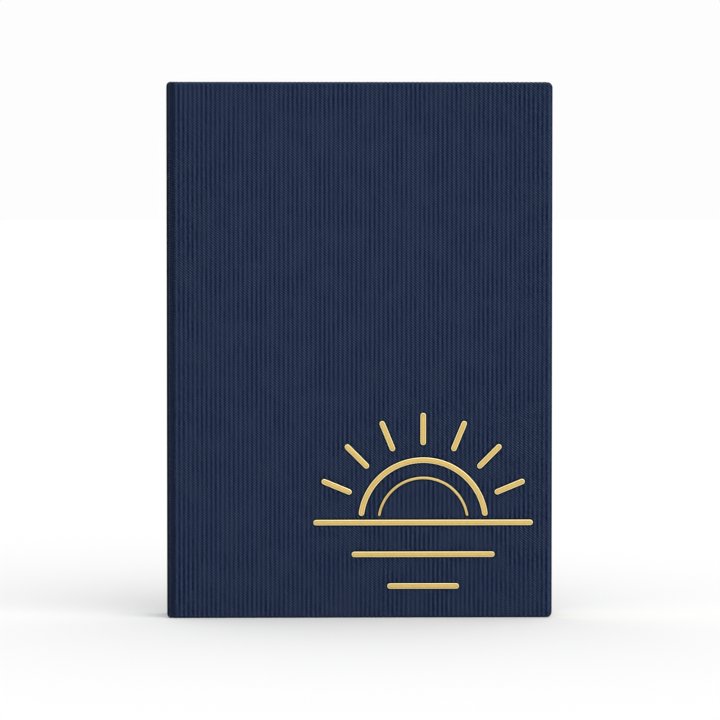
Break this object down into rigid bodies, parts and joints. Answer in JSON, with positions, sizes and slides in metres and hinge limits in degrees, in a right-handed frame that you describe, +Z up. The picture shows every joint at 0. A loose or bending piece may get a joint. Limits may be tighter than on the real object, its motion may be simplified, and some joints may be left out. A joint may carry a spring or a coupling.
{
  "type": "case-bound logbook",
  "caption": "Hardbound upright logbook with ribbed navy cloth over boards, a gold sunrise mark stamped on the front cover, sewn page sections and two hinged covers.",
  "frame": {"origin": "middle of the tail, on the surface that the closed book stands on", "axes": "+Z up from tail to head, -Y out of the front cover, -X out of the spine"},
  "size_m": [0.151, 0.022, 0.21],
  "materials": {
    "cover_cloth": "ribbed book cloth, vertical ribs 1.8 mm apart with fine slanting threads",
    "gold_foil": "hot-stamped gold foil, pressed into the cloth",
    "greyboard": "uncoated greyboard",
    "endpaper": "uncoated heavy cream paper",
    "page_paper": "uncoated cream writing paper with fine printed rules",
    "mull_gauze": "starched open cotton gauze",
    "kraft_paper": "brown kraft paper",
    "sewing_thread": "waxed linen thread",
    "headband_silk": "woven silk bead in navy and cream stripes"
  },
  "bodies": {
    "page_block": {"spine_cloth": "cover_cloth", "spine_board": "greyboard", "spine_liner": "kraft_paper", "mull_spine": "mull_gauze", "sewing_thread": "sewing_thread", "headband_head": "headband_silk", "headband_tail": "headband_silk", "section_04": "page_paper", "section_05": "page_paper", "section_06": "page_paper", "section_07": "page_paper", "section_08": "page_paper", "section_09": "page_paper"},
    "front_cover": {"front_cover_cloth": "cover_cloth", "front_board": "greyboard", "mull_front_flap": "mull_gauze", "front_pastedown": "endpaper", "cover_foil": "gold_foil"},
    "back_cover": {"back_cover_cloth": "cover_cloth", "back_board": "greyboard", "mull_back_flap": "mull_gauze", "back_pastedown": "endpaper"},
    "front_flyleaf": {"front_flyleaf": "endpaper"},
    "back_flyleaf": {"back_flyleaf": "endpaper"},
    "section_01": {"section_01": "page_paper"},
    "section_02": {"section_02": "page_paper"},
    "section_03": {"section_03": "page_paper"},
    "section_10": {"section_10": "page_paper"},
    "section_11": {"section_11": "page_paper"},
    "section_12": {"section_12": "page_paper"}
  },
  "joints": [
    {"name": "front_cover_hinge", "type": "hinge", "parent": "page_block", "child": "front_cover", "pos_m": [-0.0733, -0.01115, 0.105], "axis": [0, 0, -1], "range_deg": [0, 179]},
    {"name": "front_flyleaf_turn", "type": "hinge", "parent": "page_block", "child": "front_flyleaf", "pos_m": [-0.0733, -0.01115, 0.105], "axis": [0, 0, -1], "range_deg": [0, 166]},
    {"name": "section_01_turn", "type": "hinge", "parent": "page_block", "child": "section_01", "pos_m": [-0.0731, -0.0079, 0.105], "axis": [0, 0, -1], "range_deg": [0, 81]},
    {"name": "section_02_turn", "type": "hinge", "parent": "page_block", "child": "section_02", "pos_m": [-0.0731, -0.00658, 0.105], "axis": [0, 0, -1], "range_deg": [0, 43.5]},
    {"name": "section_03_turn", "type": "hinge", "parent": "page_block", "child": "section_03", "pos_m": [-0.0731, -0.00526, 0.105], "axis": [0, 0, -1], "range_deg": [0, 20]},
    {"name": "back_cover_hinge", "type": "hinge", "parent": "page_block", "child": "back_cover", "pos_m": [-0.0733, 0.01115, 0.105], "axis": [0, 0, 1], "range_deg": [0, 179]},
    {"name": "back_flyleaf_turn", "type": "hinge", "parent": "page_block", "child": "back_flyleaf", "pos_m": [-0.0733, 0.01115, 0.105], "axis": [0, 0, 1], "range_deg": [0, 166]},
    {"name": "section_12_turn", "type": "hinge", "parent": "page_block", "child": "section_12", "pos_m": [-0.0731, 0.0079, 0.105], "axis": [0, 0, 1], "range_deg": [0, 81]},
    {"name": "section_11_turn", "type": "hinge", "parent": "page_block", "child": "section_11", "pos_m": [-0.0731, 0.00658, 0.105], "axis": [0, 0, 1], "range_deg": [0, 43.5]},
    {"name": "section_10_turn", "type": "hinge", "parent": "page_block", "child": "section_10", "pos_m": [-0.0731, 0.00526, 0.105], "axis": [0, 0, 1], "range_deg": [0, 20]}
  ],
  "couplings": [
    {"joint": "front_flyleaf_turn", "follows": "front_cover_hinge", "ratio": 0.92},
    {"joint": "section_01_turn", "follows": "front_cover_hinge", "ratio": 0.45},
    {"joint": "section_02_turn", "follows": "front_cover_hinge", "ratio": 0.24},
    {"joint": "section_03_turn", "follows": "front_cover_hinge", "ratio": 0.11},
    {"joint": "back_flyleaf_turn", "follows": "back_cover_hinge", "ratio": 0.92},
    {"joint": "section_12_turn", "follows": "back_cover_hinge", "ratio": 0.45},
    {"joint": "section_11_turn", "follows": "back_cover_hinge", "ratio": 0.24},
    {"joint": "section_10_turn", "follows": "back_cover_hinge", "ratio": 0.11}
  ]
}
